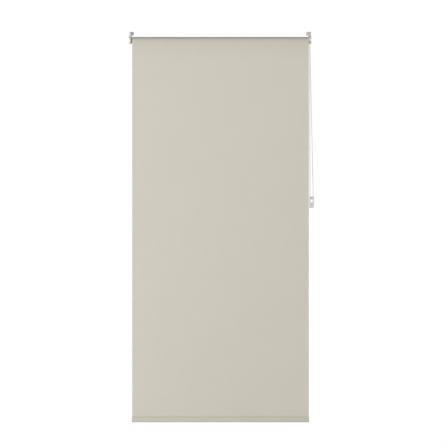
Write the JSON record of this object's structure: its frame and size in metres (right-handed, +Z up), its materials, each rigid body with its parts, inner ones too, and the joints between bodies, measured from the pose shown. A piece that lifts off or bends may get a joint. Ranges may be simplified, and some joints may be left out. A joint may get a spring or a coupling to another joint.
{
  "type": "roller blind",
  "caption": "Chain-operated roller blind: cloth panel on a tube between wall brackets, weighted hem, bead chain loop and wall-fixed chain tensioner.",
  "frame": {"origin": "on the wall plane, midway between the two brackets, level with the roller's axis", "axes": "+Z up, +X along the roller towards the chain side, +Y into the wall; the room is on the -Y side"},
  "size_m": [0.9149, 0.0747, 1.9236],
  "materials": {
    "powder_coat": "light warm grey powder coat, satin",
    "white_plastic": "white moulded plastic, soft gloss",
    "bead_chain": "white moulded beads on a cord",
    "clear_plastic": "milky moulded plastic, half clear",
    "grey_plastic": "light grey moulded plastic",
    "black_plastic": "black moulded plastic",
    "zinc_steel": "bright zinc plate",
    "spring_steel": "drawn spring wire",
    "tube_aluminium": "mill-finish extrusion",
    "cloth": "warm grey-beige plain weave, matt",
    "tape": "double-sided tape"
  },
  "bodies": {
    "fixings": {"left_bracket": "powder_coat", "left_bracket_cover": "white_plastic", "left_upper_screw": "zinc_steel", "left_lower_screw": "zinc_steel", "right_bracket": "powder_coat", "right_bracket_cover": "white_plastic", "right_upper_screw": "zinc_steel", "right_lower_screw": "zinc_steel", "clutch_hub": "grey_plastic", "clutch_retaining_screw": "zinc_steel", "chain_guard": "white_plastic", "fabric_panel": "cloth", "chain_front_strand": "bead_chain", "chain_back_strand": "bead_chain", "chain_over_sprocket": "bead_chain", "chain_around_wheel": "bead_chain", "tensioner_back": "white_plastic", "tensioner_cover": "clear_plastic", "tensioner_upper_screw": "zinc_steel", "tensioner_lower_screw": "zinc_steel"},
    "roller": {"roller_tube": "tube_aluminium", "adhesive_strip": "tape", "fabric_roll": "cloth", "idle_plug": "black_plastic", "idle_plug_cap": "black_plastic", "idle_spring": "spring_steel", "clutch_crown": "black_plastic", "inner_wrap_spring": "spring_steel", "outer_wrap_spring": "spring_steel"},
    "sprocket": {"chain_sprocket": "grey_plastic"},
    "idle_pin": {"idle_pin": "zinc_steel"},
    "bottom_rail": {"hem_pocket": "cloth", "bottom_bar": "tube_aluminium", "bottom_bar_left_cap": "white_plastic", "bottom_bar_right_cap": "white_plastic"},
    "tensioner_wheel": {"tensioner_wheel": "grey_plastic"}
  },
  "joints": [
    {"name": "rail_lift", "type": "slide", "parent": "fixings", "child": "bottom_rail", "axis": [0, 0, 1], "range_m": [0, 1.76], "deforming": ["fabric_panel"]},
    {"name": "roller_turn", "type": "hinge", "parent": "fixings", "child": "roller", "pos_m": [0, -0.03, 0], "axis": [1, 0, 0], "range_deg": [-5400, 0]},
    {"name": "sprocket_turn", "type": "hinge", "parent": "fixings", "child": "sprocket", "pos_m": [0.4422, -0.03, 0], "axis": [1, 0, 0], "range_deg": [-5400, 0]},
    {"name": "tensioner_wheel_turn", "type": "hinge", "parent": "fixings", "child": "tensioner_wheel", "pos_m": [0.4526, -0.0065, -0.809], "axis": [0, 1, 0], "range_deg": [-7280, 0]},
    {"name": "idle_pin_press", "type": "slide", "parent": "roller", "child": "idle_pin", "axis": [1, 0, 0], "range_m": [0, 0.007], "stiffness_N_per_m": 600, "springref_m": -0.006, "deforming": ["idle_spring"]}
  ],
  "couplings": [
    {"joint": "roller_turn", "follows": "rail_lift", "rad_per_m": -53.55},
    {"joint": "sprocket_turn", "follows": "rail_lift", "rad_per_m": -53.55},
    {"joint": "tensioner_wheel_turn", "follows": "rail_lift", "rad_per_m": -72.192}
  ]
}
